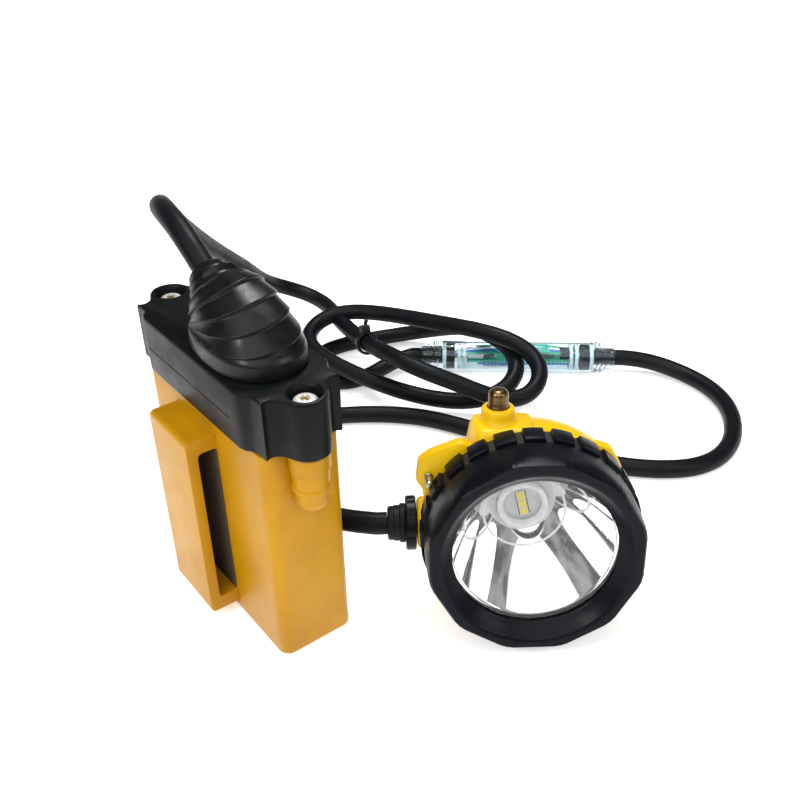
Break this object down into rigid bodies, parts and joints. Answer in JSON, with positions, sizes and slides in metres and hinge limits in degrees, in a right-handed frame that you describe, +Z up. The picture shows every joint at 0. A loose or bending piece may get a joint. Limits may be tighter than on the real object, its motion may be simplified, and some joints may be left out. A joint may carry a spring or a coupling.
{
  "type": "miner's cap lamp",
  "caption": "Corded miner's cap lamp: upright belt battery pack with black cover and strain relief boot, coiled rubber cable with clear inline module, and round headpiece with switch button.",
  "frame": {"origin": "centre of the underside of the battery case, which stands upright on the floor", "axes": "+Z up; X along the battery's width, with +X towards the headpiece's end; the belt loop is on the battery's -Y face; the headpiece stands on the floor at +X +Y and faces +X -Y"},
  "size_m": [0.3187, 0.3034, 0.1541],
  "materials": {
    "case_yellow": "satin amber-yellow moulded plastic",
    "cover_black": "semi-matte black moulded plastic",
    "bezel_black": "smooth black plastic",
    "black_rubber": "matte black rubber",
    "bright_steel": "bright plated steel",
    "brass": "turned brass",
    "button_bronze": "satin bronze-brown",
    "aluminium": "machined",
    "reflector_mirror": "mirror coating",
    "lens_clear": "clear, polished",
    "module_clear": "clear tube with a faint tint",
    "circuit_board": "green solder mask",
    "led_white": "white",
    "led_phosphor": "yellow phosphor",
    "cell_wrap": "shrink-wrap film",
    "foam": "soft foam",
    "lead_red": "insulated wire",
    "lead_black": "insulated wire"
  },
  "bodies": {
    "battery_pack": {"battery_case": "case_yellow", "belt_loop": "case_yellow", "battery_cover": "cover_black", "cover_gasket": "black_rubber", "cover_screw_left": "bright_steel", "cover_screw_right": "bright_steel", "threaded_insert_left": "brass", "threaded_insert_right": "brass", "cell_1": "cell_wrap", "cell_2": "cell_wrap", "cell_3": "cell_wrap", "cell_4": "cell_wrap", "cell_pad": "foam", "cell_holder_bottom": "cover_black", "cell_holder_top": "cover_black", "busbar_bottom": "bright_steel", "busbar_top": "bright_steel", "protection_board": "circuit_board", "lead_red": "lead_red", "lead_black": "lead_black", "strain_relief_boot": "black_rubber", "cable_battery_side": "black_rubber", "cable_lamp_side": "black_rubber", "module_tube": "module_clear", "module_cap_left": "module_clear", "module_cap_right": "module_clear", "module_grommet_left": "black_rubber", "module_grommet_right": "black_rubber", "module_board": "circuit_board", "module_chip_1": "cover_black", "module_chip_2": "cover_black", "module_chip_3": "cover_black", "cable_tie": "cover_black"},
    "headpiece": {"bezel_ring": "bezel_black", "button_spring": "bright_steel", "charging_contact": "bright_steel", "driver_board": "circuit_board", "gland_bush": "black_rubber", "gland_nut": "bezel_black", "heat_sink": "aluminium", "helmet_hook": "bright_steel", "lamp_housing": "case_yellow", "led_board": "led_white", "led_chip_1": "led_phosphor", "led_chip_2": "led_phosphor", "led_chip_3": "led_phosphor", "led_ring": "led_white", "lens": "lens_clear", "lens_gasket": "black_rubber", "micro_switch": "cover_black", "reflector": "reflector_mirror"},
    "button": {"switch_button": "button_bronze"}
  },
  "joints": [
    {"name": "headpiece_lift", "type": "slide", "parent": "battery_pack", "child": "headpiece", "axis": [0, 0, 1], "range_m": [0, 0.06]},
    {"name": "switch_press", "type": "slide", "parent": "headpiece", "child": "button", "axis": [0.0957, -0.0698, -0.993], "range_m": [0, 0.0015], "stiffness_N_per_m": 300, "springref_m": -0.0006, "deforming": ["button_spring"]}
  ]
}
